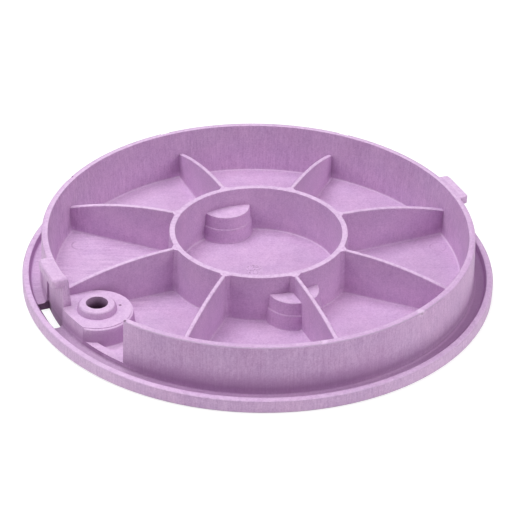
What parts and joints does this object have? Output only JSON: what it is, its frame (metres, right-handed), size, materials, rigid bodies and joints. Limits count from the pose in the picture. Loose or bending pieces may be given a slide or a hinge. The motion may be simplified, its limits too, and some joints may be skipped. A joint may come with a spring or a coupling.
{
  "type": "valve box lid",
  "caption": "Round moulded lid for a buried valve box, lying tread side down: drafted skirt with locking lugs, hub ring, radial ribs and a bolt boss.",
  "frame": {"origin": "centre of the tread, on the surface the lid lies on", "axes": "+Z along the lid's axis, from the tread to the underside with its ribs; the ribs stand 22.5 degrees off +X"},
  "size_m": [0.26, 0.26, 0.0328],
  "materials": {
    "lilac_plastic": "matte moulded lilac plastic with fine drag marks and tool lines"
  },
  "bodies": {
    "root": {"lid": "lilac_plastic"}
  },
  "joints": []
}
